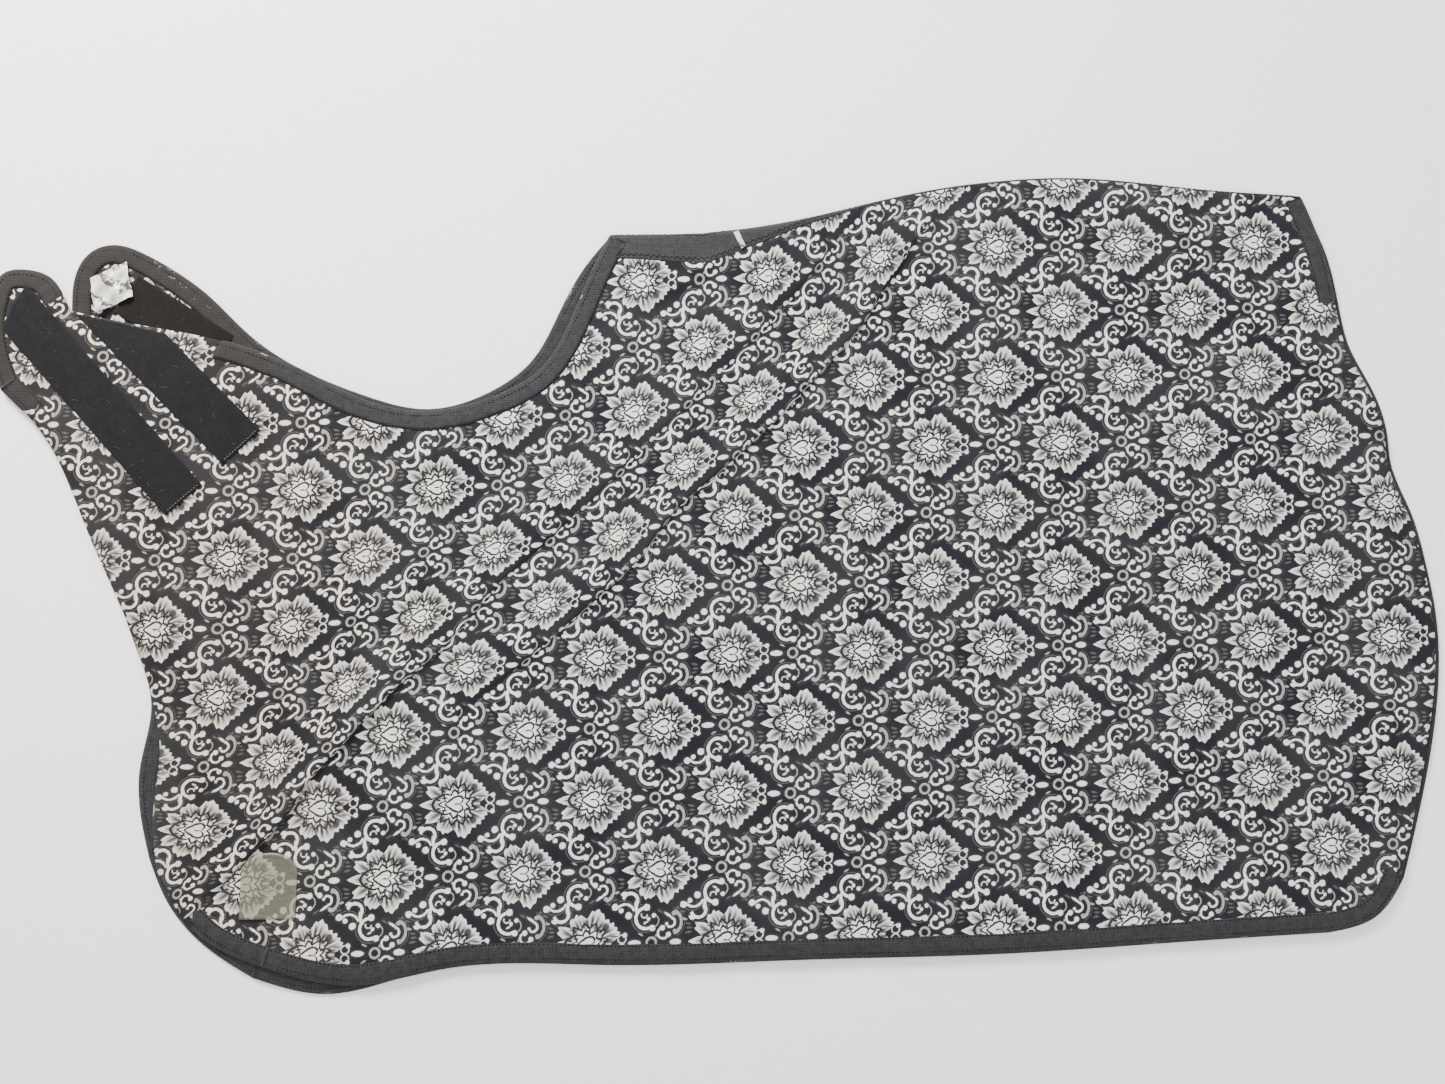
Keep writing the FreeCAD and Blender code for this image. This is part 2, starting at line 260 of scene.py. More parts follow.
# ------------------------------------------------------------ meshes
def build(name, vertices, faces, material, uv=None):
    """An object with this mesh, given in millimetres."""
    mesh = bpy.data.meshes.new(name)
    mesh.from_pydata((np.asarray(vertices, float) * MM).tolist(), [], [list(f) for f in faces])
    if uv is not None:
        layer = mesh.uv_layers.new(name="cut")
        corners = np.zeros(len(mesh.loops), np.int32)
        mesh.loops.foreach_get("vertex_index", corners)
        layer.data.foreach_set("uv", (np.asarray(uv, float) * MM)[corners].astype(np.float32).ravel())
    mesh.polygons.foreach_set("use_smooth", [True] * len(mesh.polygons))
    mesh.materials.append(material)
    mesh.validate()
    mesh.update()
    made = bpy.data.objects.new(name, mesh)
    bpy.context.scene.collection.objects.link(made)
    return made


def two_sided(triangles, n):
    """Faces of a closed solid: the triangles, the same n points on and turned over, and the rim."""
    edges = np.concatenate([triangles[:, [0, 1]], triangles[:, [1, 2]], triangles[:, [2, 0]]])
    _, where, uses = np.unique(np.sort(edges, axis=1), axis=0, return_index=True, return_counts=True)
    rim = edges[where[uses == 1]]
    walls = np.column_stack([rim[:, 1], rim[:, 0], rim[:, 0] + n, rim[:, 1] + n])
    return triangles.tolist() + (triangles[:, ::-1] + n).tolist() + walls.tolist()


def tube_faces(base, rings, sides):
    """Faces of a closed tube whose rings of points start at base."""
    faces = []
    for ring in range(rings - 1):
        for k in range(sides):
            p, q = base + ring * sides + k, base + ring * sides + (k + 1) % sides
            faces.append((p, q, q + sides, p + sides))
    last = base + (rings - 1) * sides
    return faces + [tuple(range(base + sides - 1, base - 1, -1)), tuple(range(last, last + sides))]


def solid(name, middle, tri, thick, material, uv):
    """A sheet of this thickness about its middle surface."""
    a, b, c = (middle[tri[:, i]] for i in range(3))
    normal = np.zeros_like(middle)
    for i in range(3):
        np.add.at(normal, tri[:, i], np.cross(b - a, c - a))
    normal /= np.maximum(np.linalg.norm(normal, axis=1), 1e-12)[:, None]
    vertices = np.concatenate([middle + normal * thick / 2, middle - normal * thick / 2])
    return build(name, vertices, two_sided(tri, len(middle)), material, np.concatenate([uv, uv]))


def triangulated(loop, points):
    """(points, triangles) of the region inside the loop, with these points in it."""
    n = len(loop)
    everything = [Vector(p) for p in np.concatenate([loop, points])]
    edges = [(i, (i + 1) % n) for i in range(n)]
    found, _, faces, *_ = delaunay_2d_cdt(everything, edges, [list(range(n))], 1, 1e-5)
    return np.array([[p.x, p.y] for p in found]), np.array([f for f in faces if len(f) == 3])


def filling(loop, step, extra, clear):
    """A grid of points inside the loop, off its edge and wherever clear is false, and the extra ones."""
    low, high = loop.min(0), loop.max(0)
    rows = np.arange(low[1], high[1], step * 0.866)
    grid = np.array([(x + (i % 2) * step / 2, y) for i, y in enumerate(rows)
                     for x in np.arange(low[0], high[0], step)])
    grid = grid[inside(grid, loop)]
    grid = grid[away(grid, closed(loop))[0] > step * 0.5]
    grid = grid[~clear(grid)]
    extra = extra[inside(extra, loop)]
    return np.concatenate([grid, extra])


FOLD_CLEAR = 10                # the grid of points keeps this far from the back seam
ROLL_FROM, ROLL_TO = -590, 420  # the stretch of the diagonal that the steep rolls take
UNDER_PRINT = (31, 57)         # where the print of the lower half starts


def fold_rows(half):
    """Rows of points beside the back seam, where the cloth turns over."""
    seam, out = half.seam[2:-2], outwards(half.seam)[2:-2]
    return np.concatenate([seam - out * gap for gap in (0.6, 1.6, 2.9, 4.6, 8)])


def flat_half(name, half, height, material, step):
    """A half of the rug that lies as it was cut."""
    cut, triangles = triangulated(half.loop, filling(
        half.loop, step, fold_rows(half), lambda p: away(p, half.seam)[0] < FOLD_CLEAR))
    middle = np.column_stack([cut, height(cut)])
    return solid(name, middle, triangles, FLEECE, material, cut * (1, -1) + UNDER_PRINT)


def roll_rows():
    """Close rows of points over the two steep rolls, in the flat cut."""
    t = np.arange(ROLL_FROM, ROLL_TO, 5.0)
    before, rows = np.zeros(len(t)), []
    for foot, taken, _, _ in ROLLS[:2]:
        for gap in np.arange(-3, 26, 2.6):
            s = table(t, foot) + before + gap
            rows.append(s[:, None] * ACROSS + t[:, None] * DIAGONAL)
        before = before + table(t, taken)
    return np.concatenate(rows)


def rolled_half(name, half, height, material, step):
    """A half of the rug whose slack has settled into the rolls."""
    loop, seam = flat_cut(half.loop), flat_cut(half.seam)
    fine = roll_rows()
    fine = fine[away(fine, closed(loop))[0] > 9]

    def crowded(points):
        s, t = points @ ACROSS, points @ DIAGONAL
        first = table(t, ROLLS[0][0])
        second = table(t, ROLLS[1][0]) + table(t, ROLLS[0][1])
        near = ((s > first - 5) & (s < first + 27)) | ((s > second - 5) & (s < second + 27))
        return near & (t > ROLL_FROM - 2) & (t < ROLL_TO + 2) | (away(points, seam)[0] < FOLD_CLEAR)

    cut, triangles = triangulated(loop, filling(
        loop, step, np.concatenate([fine, flat_cut(fold_rows(half))]), crowded))
    rough, _ = settle(cut, SHARP)
    edge, _ = away(rough, half.free)
    fold, _ = away(rough, half.seam)
    fade = smooth((np.minimum(edge, fold) - 6) / 42)
    settled, lift = settle(cut, SHARP + 0.12 * fade)
    settled = rough + (settled - rough) * fade[:, None]
    middle = np.column_stack([settled, height(settled) + lift * fade])
    return solid(name, middle, triangles, FLEECE, material, cut)


def shell(name, rings, material, uv):
    """A closed tube of quads over rings of points: rings is (n, m, 3)."""
    n, m = rings.shape[:2]
    index = np.arange(n * m).reshape(n, m)
    faces = [(index[i, j], index[i + 1, j], index[i + 1, (j + 1) % m], index[i, (j + 1) % m])
             for i in range(n - 1) for j in range(m)]
    faces += [tuple(index[0, ::-1]), tuple(index[-1])]
    faces = [tuple(int(k) for k in f) for f in faces]
    return build(name, rings.reshape(-1, 3), faces, material, uv)


RIM, TIP = 0.2, 1.7         # how far the binding's sides, and the turn between them, reach past the edge
BINDING_HALF = 1.7          # half the folded binding's thickness
BULGE = {-16: 0.1, -9: 0.55}   # how far its faces stand out at these places in from the edge


def binding(name, line, normals, height, material, tuck):
    """Tape folded over the edge: a U-shaped section along the line. tuck from 0 to 1 rolls it under."""
    place = lengths(line)
    reach = [-TAPE_WIDTH, -16, -9, -3, RIM]
    heights = {w: height(line + normals * min(w, -0.5)) for w in reach}
    rings = []
    for side in (1, -1):
        for inner in (0, 1):
            rows = []
            for w in reach:
                swell = 0.22 * np.sin(place / 3.1 + w) * (abs(w + 9) < 8) + 0.25 * np.sin(place / 23 + 2)
                up = side * (BINDING_HALF - inner * TAPE + BULGE.get(w, -0.1) * (1 - inner))
                out = w - TUCK_IN * tuck + (0.35 * np.sin(place / 17) + 0.25 * np.sin(place / 7.3))
                if w == RIM:
                    up *= 0.85
                    out = out - inner * 0.3
                z = heights[w] + up + swell * (1 - inner) * (side > 0) - TUCK_DOWN * tuck
                rows.append(np.column_stack([line + normals * out[:, None], z]))
            rings.append(rows)
    tip = [np.column_stack([line + normals * (TIP - inner * TAPE - TUCK_IN * tuck)[:, None],
                            heights[RIM] - TUCK_DOWN * tuck]) for inner in (0, 1)]
    order = rings[0] + [tip[0]] + rings[2][::-1] + rings[3] + [tip[1]] + rings[1][::-1]
    section = np.stack(order, axis=1)
    v = np.linspace(0, 100, section.shape[1])
    return shell(name, section, material, np.array([(p, q) for p in place for q in v]))


def stitches(name, line, normals, height, gap, above, material, long=3.0, pitch=4.4, thick=0.33, tuck=None):
    """A row of stitches this far out from the line, or in if gap is negative: short rounded threads."""
    row = line + normals * gap
    z = height(row) + above
    place = lengths(row)
    points = np.column_stack([row, z])
    vertices, faces = [], []
    for start in np.arange(2, place[-1] - long, pitch):
        a, b = (np.array([np.interp(start + k, place, points[:, i]) for i in range(3)]) for k in (0, long))
        if tuck is not None and np.interp(start + long / 2, place, tuck) > 0.25:
            continue
        d = (b - a) / np.linalg.norm(b - a)
        side = np.array([-d[1], d[0], 0])
        base = len(vertices)
        for share, size, up in ((0, 0.35, -0.35), (0.22, 1, 0.05), (0.78, 1, 0.05), (1, 0.35, -0.35)):
            centre = a + (b - a) * share + (0, 0, up)
            for k in range(5):
                turn = 2 * math.pi * k / 5
                spoke = side * math.cos(turn) + np.array([0, 0, 1]) * math.sin(turn)
                vertices.append(centre + thick * size * spoke)
        faces += tube_faces(base, 4, 5)
    return build(name, vertices, faces, material)


def plate(name, corner, along_dir, long, wide, height, above, thick, material, crumple, step=4.0,
          skew=0.0, lean=0.0):
    """A flexible strip on the cloth: starts at the corner, runs along_dir and spreads to its left.
    Its far side starts later by skew, or lies further along by lean."""
    edge = 0.35                  # how far its top edge is worn down and in
    d = np.array(along_dir) / np.linalg.norm(along_dir)
    n = np.array([-d[1], d[0]])
    us = np.linspace(0, long, max(4, int(long / step) + 1))
    vs = np.linspace(0, wide, max(4, int(wide / step) + 1))
    us = np.sort(np.concatenate([us, [edge, long - edge]]))
    vs = np.sort(np.concatenate([vs, [edge, wide - edge]]))
    grid_u, grid_v = np.meshgrid(us, vs, indexing="ij")
    start = skew * grid_v / wide
    spread = start + grid_u * (long - start) / long + lean * grid_v / wide
    flat = np.array(corner) + spread.reshape(-1, 1) * d + grid_v.reshape(-1, 1) * n
    z = height(flat) + above
    lift = crumple(grid_u.ravel(), grid_v.ravel())
    rim = ((grid_u.ravel() < edge / 2) | (grid_u.ravel() > long - edge / 2)
           | (grid_v.ravel() < edge / 2) | (grid_v.ravel() > wide - edge / 2))
    top = np.column_stack([flat, z + lift + thick - rim * edge])
    low = np.column_stack([flat, z + lift])
    n_u, n_v = len(us), len(vs)
    index = np.arange(n_u * n_v).reshape(n_u, n_v)
    count = n_u * n_v
    faces = []
    for i in range(n_u - 1):
        for j in range(n_v - 1):
            quad = (index[i, j], index[i + 1, j], index[i + 1, j + 1], index[i, j + 1])
            faces += [quad, tuple(k + count for k in quad[::-1])]
    border = list(index[:, 0]) + list(index[-1, 1:]) + list(index[-2::-1, -1]) + list(index[0, -2:0:-1])
    faces += [(b, a, a + count, b + count) for a, b in zip(border, border[1:] + border[:1])]
    uv = np.column_stack([grid_u.ravel(), grid_v.ravel()])
    return build(name, np.concatenate([top, low]), [tuple(int(k) for k in f) for f in faces], material,
                 np.concatenate([uv, uv]))


# ------------------------------------------------------------ materials
class Net:
    """A material's node tree, built in the order it is evaluated."""

    def __init__(self, name):
        self.material = bpy.data.materials.new(name)
        self.material.use_nodes = True
        self.tree = self.material.node_tree
        self.tree.nodes.clear()

    def put(self, kind, *inputs, **settings):
        node = self.tree.nodes.new(kind)
        for key, value in settings.items():
            setattr(node, key, value)
        for i, value in enumerate(inputs):
            self.set(node.inputs[i], value)
        return node

    def set(self, socket, value):
        if value is None:
            return
        if isinstance(value, bpy.types.NodeSocket):
            self.tree.links.new(value, socket)
        else:
            socket.default_value = value

    def m(self, operation, *inputs):
        return self.put("ShaderNodeMath", *inputs, operation=operation).outputs[0]

    def v(self, operation, *inputs):
        node = self.put("ShaderNodeVectorMath", *inputs, operation=operation)
        return node.outputs["Value" if operation in ("LENGTH", "DISTANCE", "DOT_PRODUCT") else "Vector"]

    def ramp(self, value, low, high, start=0.0, end=1.0):
        node = self.put("ShaderNodeMapRange", interpolation_type="SMOOTHSTEP")
        ends = (("From Min", low), ("From Max", high), ("To Min", start), ("To Max", end))
        for name, v in (("Value", value), *ends):
            self.set(node.inputs[name], v)
        return node.outputs[0]

    def millimetres(self, place):
        node = self.put("ShaderNodeVectorMath", place, operation="SCALE")
        node.inputs["Scale"].default_value = 1000.0
        return node.outputs["Vector"]

    def on_object(self):
        """Places in the object's own space, in millimetres."""
        return self.millimetres(self.put("ShaderNodeTexCoord").outputs["Object"])

    def on_cut(self):
        """Places in the flat cut, in millimetres."""
        return self.millimetres(self.put("ShaderNodeUVMap", uv_map="cut").outputs[0])

    def mix(self, factor, a, b):
        node = self.put("ShaderNodeMix", data_type="RGBA")
        self.set(node.inputs[0], factor)
        self.set(node.inputs[6], a)
        self.set(node.inputs[7], b)
        return node.outputs[2]

    def noise(self, vector, scale, detail=2.0, rough=0.5):
        node = self.put("ShaderNodeTexNoise")
        for name, v in (("Vector", vector), ("Scale", scale), ("Detail", detail), ("Roughness", rough)):
            self.set(node.inputs[name], v)
        return node.outputs["Fac"]

    def curve(self, value, points):
        """points are (x, y) from 0 to 1."""
        node = self.put("ShaderNodeFloatCurve")
        self.set(node.inputs["Value"], value)
        line = node.mapping.curves[0]
        for i, (x, y) in enumerate(points):
            if i < 2:
                line.points[i].location = (x, y)
            else:
                line.points.new(x, y)
        for p in line.points:
            p.handle_type = "VECTOR"
        node.mapping.update()
        return node.outputs[0]

    def finish(self, colour, rough=0.9, bump=None, strength=0.3, distance=0.0005, sheen=0.0, **more):
        shader = self.put("ShaderNodeBsdfPrincipled")
        self.set(shader.inputs["Base Color"], colour)
        self.set(shader.inputs["Roughness"], rough)
        self.set(shader.inputs["Sheen Weight"], sheen)
        for key, value in more.items():
            self.set(shader.inputs[key.replace("_", " ")], value)
        if bump is not None:
            node = self.put("ShaderNodeBump")
            self.set(node.inputs["Strength"], strength)
            self.set(node.inputs["Distance"], distance)
            self.set(node.inputs["Height"], bump)
            self.set(shader.inputs["Normal"], node.outputs["Normal"])
        out = self.put("ShaderNodeOutputMaterial")
        self.tree.links.new(shader.outputs[0], out.inputs["Surface"])
        return self.material


def tone(r, g, b):
    """A display colour from 0 to 255 as linear RGBA."""
    channels = ((c / 255 / 12.92) if c < 11 else ((c / 255 + 0.055) / 1.055) ** 2.4 for c in (r, g, b))
    return (*channels, 1.0)


REPEAT_X, REPEAT_Y = 146.0, 150.0      # the print's repeat
RING_X, FLOWER_X = 10.0, 15.0          # the middles of the ornament and the flower in their cells
FARTHEST = 50.0                        # longer than any petal, so that a curve's values stay below 1


def damask(net, x, y):
    """Scrolls and flowers in a half-dropped repeat; x and y in millimetres.
    Returns how much cream shows, from 0 to 1."""
    half_x, half_y = REPEAT_X / 2, REPEAT_Y / 2

    def cell(along):
        wrapped = net.m("WRAP", along, half_x, -half_x)
        mirrored = net.m("PINGPONG", y, half_y)
        far_x = net.m("DIVIDE", net.m("ABSOLUTE", wrapped), REPEAT_X)
        far = net.m("ADD", far_x, net.m("DIVIDE", mirrored, REPEAT_Y))
        other = net.m("GREATER_THAN", far, 0.5)
        side = net.m("MULTIPLY", net.m("MULTIPLY", other, half_x), net.m("SIGN", wrapped))
        back = net.m("MULTIPLY", other, net.m("SUBTRACT", half_y, net.m("MULTIPLY", mirrored, 2.0)))
        return net.m("SUBTRACT", wrapped, side), net.m("ADD", mirrored, back)

    def union(made, more):
        for one in more:
            made = one() if made is None else net.m("MAXIMUM", made, one())
        return made

    # ornament, about its ring
    sx, sy = cell(x)
    p = net.put("ShaderNodeCombineXYZ", net.m("SUBTRACT", sx, RING_X), sy).outputs[0]

    def disc(cx, cy, r):
        return lambda: net.m("SUBTRACT", r, net.v("DISTANCE", p, (cx, cy, 0)))

    def oval(cx, cy, hx, hy, angle=0.0):
        def made():
            a = math.radians(angle)
            along = (math.cos(a) / hx, math.sin(a) / hx, 0)
            over = (-math.sin(a) / hy, math.cos(a) / hy, 0)
            u = net.m("SUBTRACT", net.v("DOT_PRODUCT", p, along), cx * along[0] + cy * along[1])
            v = net.m("SUBTRACT", net.v("DOT_PRODUCT", p, over), cx * over[0] + cy * over[1])
            reach = net.m("SQRT", net.m("ADD", net.m("MULTIPLY", u, u), net.m("MULTIPLY", v, v)))
            return net.m("MULTIPLY", net.m("SUBTRACT", 1.0, reach), min(hx, hy))
        return made

    def arc(cx, cy, r, stroke, angle=None, keep=0.0, tall=1.0):
        """A ring's part on the side of the angle; keep is how far past its centre it goes on."""
        def made():
            at = p if tall == 1.0 else net.v("MULTIPLY", p, (1, 1 / tall, 0))
            gap = net.m("ABSOLUTE", net.m("SUBTRACT", net.v("DISTANCE", at, (cx, cy / tall, 0)), r))
            d = net.m("SUBTRACT", stroke / 2, gap)
            if angle is None:
                return d
            a = math.radians(angle)
            side = net.v("DOT_PRODUCT", p, (math.cos(a), math.sin(a), 0))
            return net.m("MINIMUM", d, net.m("ADD", side, keep - (cx * math.cos(a) + cy * math.sin(a))))
        return made

    bright = union(None, (
        oval(-18.0, 0, 7.6, 3.3), oval(25.5, 0, 6.6, 3.5),
        disc(-28.3, 8.4, 2.8), arc(-31.3, 4.6, 4.2, 1.9),
        arc(12.3, 9.4, 5.6, 3.0, 225, 1.5), disc(11.4, 14.6, 3.1), disc(18.0, 7.8, 3.1),
        arc(19.8, 20.2, 4.7, 3.1, -25, 1.8), disc(15.9, 18.6, 2.0), oval(17.4, 27.6, 6.6, 1.7, -34),
        arc(-6.5, 25.0, 10.6, 4.0, 186, 5.0), disc(0.6, 14.8, 3.5), disc(-5.8, 36.0, 3.8),
        arc(-8.2, 28.6, 3.2, 2.0, -100, 1.0), disc(-3.6, 24.2, 2.3), oval(-6.4, 20.6, 3.6, 1.3, 25),
        arc(-23.5, 43.0, 7.8, 3.9, 62, 2.0), oval(-30.0, 50.3, 4.6, 2.9, -8),
        oval(-17.2, 36.5, 8.0, 2.1, 96), arc(-29.0, 29.6, 10.2, 3.1, 82, -4.0), disc(-39.6, 37.2, 3.8),
        disc(-33.0, 33.4, 2.9), disc(-25.0, 28.0, 3.9), disc(2.0, 27.6, 2.7),
    ))
    softer = union(None, (
        arc(0, 0, 4.9, 3.4), arc(24.0, 20.2, 7.4, 3.8, 0, 1.0, 1.38), disc(23.2, 29.2, 2.7),
        disc(24.6, 11.2, 2.5), oval(35.0, 23.0, 3.6, 1.7, -12), arc(1.0, 22.0, 6.2, 2.1, 0, -1.0),
        oval(-11.5, 8.4, 4.2, 1.4, -28), oval(5.2, 7.2, 2.2, 1.6, 40),
    ))
    faint = union(None, (
        oval(39.0, 9.5, 4.4, 1.5, 12), oval(40.0, 14.0, 4.2, 1.4), oval(38.8, 18.2, 3.8, 1.3, -12),
        oval(33.5, 31.5, 5.0, 1.6, 20), oval(27.5, 35.0, 4.2, 1.5, 45),
        arc(-7.0, 25.0, 14.6, 1.7, 205, 3.0), arc(-23.5, 44.5, 11.2, 1.6, 70, 1.0),
        arc(-30.5, 30.0, 13.6, 1.6, 95, -5.0), oval(8.5, 31.5, 4.6, 1.3, -30),
        arc(24.0, 20.2, 11.0, 1.3, 8, 0.0, 1.3), arc(-30.0, 36.0, 4.6, 1.4, 60, 0.0),
        oval(-40.0, 44.5, 4.0, 1.4, 12),
    ))
    ornament = net.ramp(bright, -0.5, 0.9)
    ornament = net.m("MAXIMUM", ornament, net.ramp(softer, -0.4, 0.9, 0.0, 0.72))
    ornament = net.m("MAXIMUM", ornament, net.ramp(faint, -0.6, 0.8, 0.0, 0.42))
    ornament = net.m("MAXIMUM", ornament, net.ramp(bright, -3.4, -1.2, 0.0, 0.20))

    # flower, about its middle, which is 68 mm before the ring
    fx, fy = cell(net.m("ADD", x, half_x))
    across = net.m("SUBTRACT", fx, FLOWER_X)
    q = net.put("ShaderNodeCombineXYZ", across, fy).outputs[0]
    r = net.v("LENGTH", q)
    turn = net.m("DIVIDE", net.m("ARCTAN2", fy, across), math.pi)
    tips = [(0, 26), (6, 29), (12, 34), (19, 37.5), (23, 34.5), (28, 36.5), (32, 33.5), (38, 36.2),
            (43, 32), (48, 34.6), (54, 31.5), (62, 36), (66, 35.5), (73, 38.8), (78, 35), (83, 35.6),
            (87, 30.5), (92, 27), (98, 29), (104, 32.4), (108, 31.4), (112, 34.8), (118, 31.8), (125, 33),
            (131, 30.5), (136, 24.5), (141, 31), (149, 37.8), (153, 34.5), (158, 36), (163, 30), (167, 25),
            (172, 31), (180, 40)]

    def reaching(tips):
        """The reach of a ring of leaves; its tips are angle and reach."""
        share = net.curve(turn, [(a / 180, v / FARTHEST) for a, v in tips])
        return net.m("MULTIPLY", share, FARTHEST)

    edge = reaching(tips)
    petals = net.ramp(net.m("SUBTRACT", edge, r), -0.2, 1.8)
    rays = []
    for a, dark in ((9, 0.9), (20, 0.5), (31, 0.8), (43, 1.0), (54, 0.85), (67, 0.6), (79, 0.8), (91, 1.0),
                    (101, 0.6), (109, 0.55), (119, 0.7), (134, 1.0), (151, 0.65), (166, 1.0)):
        rays += [(a - 4.6, 0.12), (a - 2.0, dark), (a + 2.0, dark), (a + 4.6, 0.12)]
    rays = net.curve(turn, [(0.0, 0.0)] + [(a / 180, v) for a, v in rays] + [(1.0, 0.2)])
    share = net.m("DIVIDE", r, edge)
    reach = net.m("MULTIPLY", net.ramp(share, 1.0, 0.66), net.ramp(r, 15.0, 18.5))
    fine = net.ramp(net.m("SINE", net.m("MULTIPLY", turn, 118.0)), -0.2, 1.0, 0.0, 0.42)
    dark = net.m("MULTIPLY", net.m("MAXIMUM", rays, fine), reach)

    def blot(cx, cy, hx, hy, strength):
        """A dark oval between the leaves."""
        scaled = net.v("DIVIDE", net.v("SUBTRACT", q, (cx, cy, 0)), (hx, hy, 1))
        return net.ramp(net.v("LENGTH", scaled), 1.15, 0.6, 0.0, strength)

    def whorl(tips, wide, strength):
        """The dark outline of an inner ring of leaves; its tips are angle and reach."""
        gap = net.m("ABSOLUTE", net.m("SUBTRACT", reaching(tips), r))
        return net.ramp(gap, wide * 0.3, wide, strength, 0.0)

    outer_leaves = [(0, 17), (14, 22), (24, 16), (38, 24), (52, 17), (68, 23), (82, 16.5), (100, 22),
                    (114, 16), (130, 23.5), (146, 17), (164, 22), (180, 25)]
    middle_leaves = [(0, 11), (18, 16), (34, 11.5), (56, 17.5), (76, 11), (98, 15), (118, 10.5), (142, 16.5),
                     (162, 11), (180, 18)]
    heart = [(0, 3.5), (14, 6.5), (34, 9.5), (58, 9.5), (90, 7.5), (130, 6.5), (160, 8), (180, 11)]
    for leaves, wide, strength in ((outer_leaves, 2.5, 0.95), (middle_leaves, 2.0, 0.95), (heart, 1.7, 0.9)):
        dark = net.m("MAXIMUM", dark, whorl(leaves, wide, strength))
    for blotted in (
        (19.0, 17.0, 4.6, 5.0, 0.7), (-1.5, 22.5, 2.4, 4.0, 0.6), (-14.0, 15.5, 6.0, 1.6, 0.6),
        (2.0, 13.0, 1.6, 3.4, 0.75), (-20.0, 7.0, 6.0, 1.6, 0.6), (-12.0, 6.5, 3.8, 1.3, 0.7),
        (13.0, 5.0, 3.2, 1.3, 0.7), (1.0, 0.0, 3.2, 1.0, 0.7), (24.0, 2.2, 6.5, 1.4, 0.6),
        (28.0, 7.6, 5.5, 1.1, 0.6), (-25.5, 0.0, 5.2, 1.2, 0.6), (8.0, 17.0, 1.3, 3.2, 0.6),
    ):
        dark = net.m("MAXIMUM", dark, blot(*blotted))
    flower = net.m("MULTIPLY", petals, net.m("SUBTRACT", 1.0, net.m("MULTIPLY", dark, 0.92)))
    return net.m("MAXIMUM", ornament, flower)


def printed_fleece():
    net = Net("printed_fleece")
    flat = net.on_cut()
    wander = net.put("ShaderNodeTexNoise")
    net.set(wander.inputs["Vector"], flat)
    wander.inputs["Scale"].default_value = 0.55
    wander.inputs["Detail"].default_value = 2.0
    shake = net.v("MULTIPLY", net.v("SUBTRACT", wander.outputs["Color"], (0.5, 0.5, 0.5)), (1.6, 1.6, 0))
    at = net.put("ShaderNodeSeparateXYZ", net.v("ADD", flat, shake))
    x0, y0 = at.outputs[0], at.outputs[1]
    cream = damask(net, *print_place(net, x0, y0))
    nap = net.noise(flat, 1.3, 3.0, 0.65)
    pill = net.noise(flat, 0.28, 3.0, 0.6)
    shown = net.m("MULTIPLY", net.m("POWER", cream, 2.9), net.ramp(nap, 0.25, 0.7, 0.82, 1.0))
    patch = net.noise(flat, 0.012, 2.0, 0.5)
    # painted warm light: the cream and the dark ground turn warmer towards the left end, where the light
    # falls warm
    warm_light = net.mix(net.ramp(x0, -250.0, -650.0), tone(*CREAM), tone(*CREAM_WARM_LIGHT))
    ground = net.mix(net.ramp(x0, -150.0, -600.0), tone(*GROUND), tone(*GROUND_WARM_LIGHT))
    ground = net.mix(net.ramp(nap, 0.35, 0.75, 0.0, 0.35), ground, tone(*GROUND_NAP))
    colour = net.mix(shown, ground, warm_light)
    colour = net.mix(net.ramp(patch, 0.35, 0.65, 0.0, 0.05), colour, tone(128, 126, 122))
    lump = net.m("ADD", net.m("MULTIPLY", nap, 0.5), net.m("MULTIPLY", pill, 0.9))
    return net.finish(colour, 0.95, lump, 0.55, 0.0011, sheen=0.03, Sheen_Roughness=0.6,
                      Specular_IOR_Level=0.08)


PRINT_X, PRINT_Y = 304.0, -85.0        # the place where the print has its true repeat
PRINT_BEND = 1.2e-5                    # its repeat is shorter towards the front, longer towards the tail
PRINT_LEAN, PRINT_SLOPE = 0.022, 0.027 # how its columns and its rows slant
PRINT_START = 53.6                     # how far the middle of an ornament's cell is from there


def print_place(net, x0, y0):
    """x and y in the print's own repeat, from a place in the flat cut."""
    y1 = net.m("ADD", y0, -PRINT_Y)
    x1 = net.m("SUBTRACT", x0, PRINT_X)
    x1 = net.m("SUBTRACT", x1, net.m("MULTIPLY", net.m("MULTIPLY", x1, x1), PRINT_BEND))
    x = net.m("SUBTRACT", net.m("SUBTRACT", x1, net.m("MULTIPLY", y1, PRINT_LEAN)), PRINT_START)
    return x, net.m("SUBTRACT", y1, net.m("MULTIPLY", x1, PRINT_SLOPE))


def clear_rubber():
    """Smoky rubber that lets the print behind it show."""
    net = Net("badge_rubber")
    flat = net.on_cut()
    at = net.put("ShaderNodeSeparateXYZ", flat)
    cream = damask(net, *print_place(net, at.outputs[0], at.outputs[1]))
    grain = net.noise(flat, 0.35, 4.0, 0.6)
    behind = net.ramp(net.m("POWER", cream, 1.6), 0.0, 1.0, 0.0, 0.85)
    base = net.mix(behind, tone(72, 71, 60), tone(150, 147, 128))
    base = net.mix(net.ramp(grain, 0.3, 0.7, 0.0, 0.35), base, tone(112, 110, 93))
    return net.finish(base, 0.34, grain, 0.25, 0.0005, Specular_IOR_Level=0.5)


